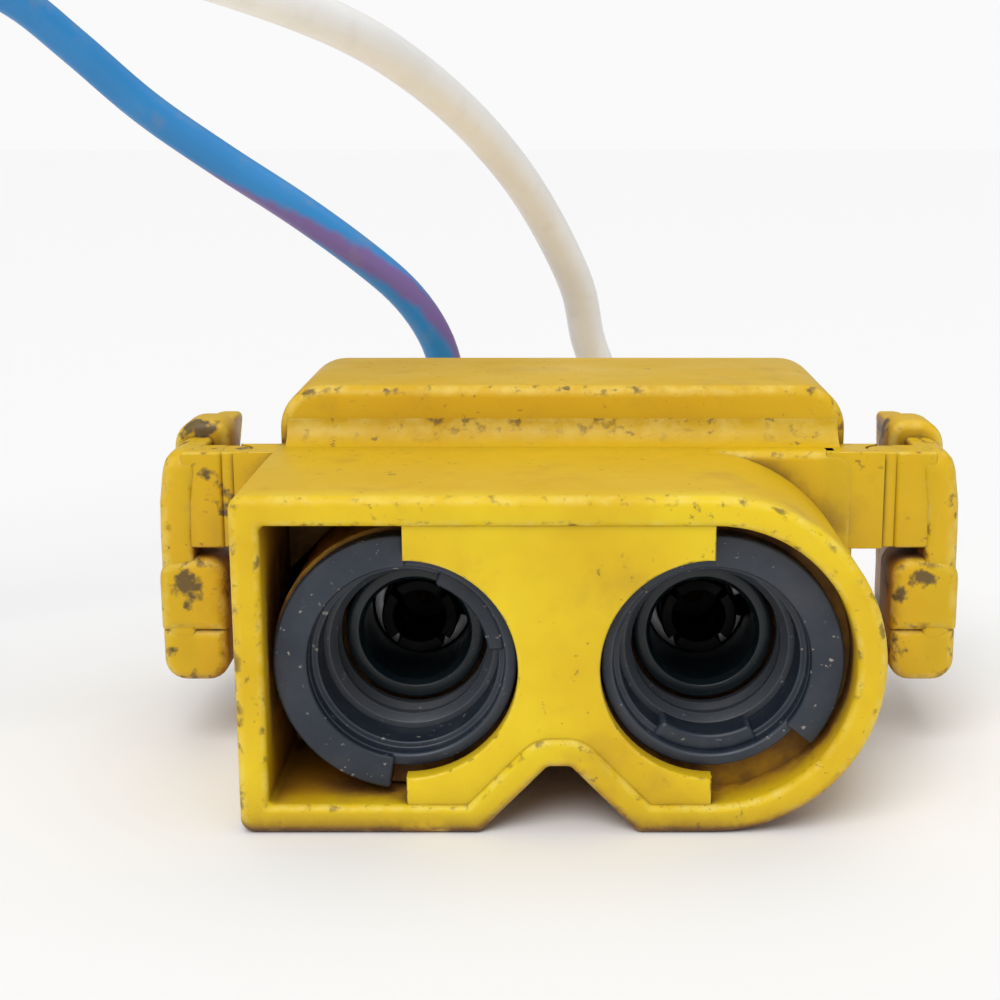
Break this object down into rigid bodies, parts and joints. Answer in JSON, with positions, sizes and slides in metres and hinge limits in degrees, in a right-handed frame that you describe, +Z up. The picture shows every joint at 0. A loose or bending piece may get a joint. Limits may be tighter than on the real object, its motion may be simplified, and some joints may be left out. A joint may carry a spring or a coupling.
{
  "type": "sealed wire plug",
  "caption": "Sealed low-voltage wire plug with a keyed shroud, twist-in socket sleeves, side latches and short wire leads.",
  "frame": {"origin": "centre of the base, under the middle of the plug's length, on the surface that it stands on", "axes": "+Z up; -Y out of the mating face; +Y towards the wires; +X to the right, towards the shroud's round end"},
  "size_m": [0.1014, 0.0615, 0.0482],
  "materials": {
    "housing_yellow": "semi-gloss moulded plastic, grimy and scuffed along its edges",
    "cover_yellow": "semi-gloss moulded plastic, grimy at its foot",
    "latch_yellow": "semi-gloss moulded plastic with dark rubbed patches",
    "sleeve_dark": "satin moulded plastic with dust specks",
    "seal_rubber": "soft matt rubber lips",
    "tube_teal": "satin moulded plastic",
    "contact_tin": "tin-plated turned brass",
    "clip_steel": "spring steel",
    "wire_seal_rubber": "soft matt rubber",
    "copper_core": "stranded copper",
    "blue_insulation": "satin insulation with a violet tracer",
    "white_insulation": "satin insulation, slightly soiled"
  },
  "bodies": {
    "housing": {"plug_housing": "housing_yellow", "rear_cover": "cover_yellow", "left_contact_tube": "tube_teal", "right_contact_tube": "tube_teal", "left_socket_contact": "contact_tin", "right_socket_contact": "contact_tin", "left_contact_clip": "clip_steel", "right_contact_clip": "clip_steel", "left_wire_seal": "wire_seal_rubber", "right_wire_seal": "wire_seal_rubber", "left_crimped_core": "copper_core", "right_crimped_core": "copper_core", "blue_wire": "blue_insulation", "white_wire": "white_insulation", "blue_bare_end": "copper_core", "white_bare_end": "copper_core"},
    "left_sleeve": {"left_twist_sleeve": "sleeve_dark", "left_lip_seal": "seal_rubber"},
    "right_sleeve": {"right_twist_sleeve": "sleeve_dark", "right_lip_seal": "seal_rubber"},
    "left_latch": {"left_latch": "latch_yellow"},
    "right_latch": {"right_latch": "latch_yellow"}
  },
  "joints": [
    {"name": "left_sleeve_twist", "type": "hinge", "parent": "housing", "child": "left_sleeve", "pos_m": [-0.0081, -0.01, 0.009], "axis": [0, -1, 0], "range_deg": [0, 180]},
    {"name": "right_sleeve_twist", "type": "hinge", "parent": "housing", "child": "right_sleeve", "pos_m": [0.0081, -0.01, 0.009], "axis": [0, -1, 0], "range_deg": [-50, 130]},
    {"name": "left_latch_rock", "type": "hinge", "parent": "housing", "child": "left_latch", "pos_m": [-0.0192, -0.0019, 0.0155], "axis": [0, 0, -1], "range_deg": [0, 8], "stiffness_Nm_per_rad": 0.1},
    {"name": "right_latch_rock", "type": "hinge", "parent": "housing", "child": "right_latch", "pos_m": [0.0192, -0.0019, 0.0155], "axis": [0, 0, 1], "range_deg": [0, 8], "stiffness_Nm_per_rad": 0.1}
  ]
}
